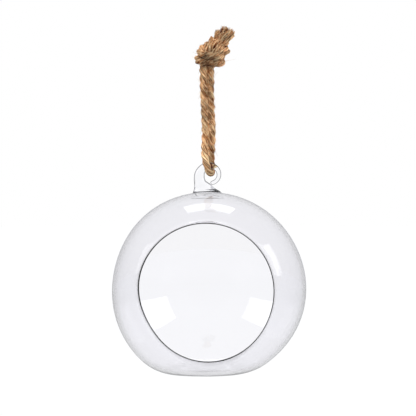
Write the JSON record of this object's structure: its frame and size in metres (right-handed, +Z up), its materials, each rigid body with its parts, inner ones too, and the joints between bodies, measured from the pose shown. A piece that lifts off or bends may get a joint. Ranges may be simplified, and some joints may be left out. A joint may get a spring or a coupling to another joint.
{
  "type": "hanging propagation vase",
  "caption": "Clear blown glass globe vase with a round side mouth, a flattened foot and a curled glass eye, hung on a knotted loop of twine",
  "frame": {"origin": "the place that the vase hangs from, between the two legs of twine, right under the knot", "axes": "+X to the right of someone who looks into the mouth, +Y away from them, +Z up"},
  "size_m": [0.1, 0.0851, 0.177],
  "materials": {
    "clear_glass": "clear, fire-polished blown glass",
    "twine": "coarse three-strand jute with loose fibres"
  },
  "bodies": {
    "twine": {"rope_loop": "twine", "rope_knot": "twine", "rope_tail_left": "twine", "rope_tail_right": "twine"},
    "vessel": {"glass_globe": "clear_glass", "glass_hook": "clear_glass"}
  },
  "joints": [
    {"name": "vessel_swing", "type": "hinge", "parent": "twine", "child": "vessel", "pos_m": [0.0011, 0, -0.04929], "axis": [1, 0, 0], "range_deg": [-45, 75]}
  ]
}
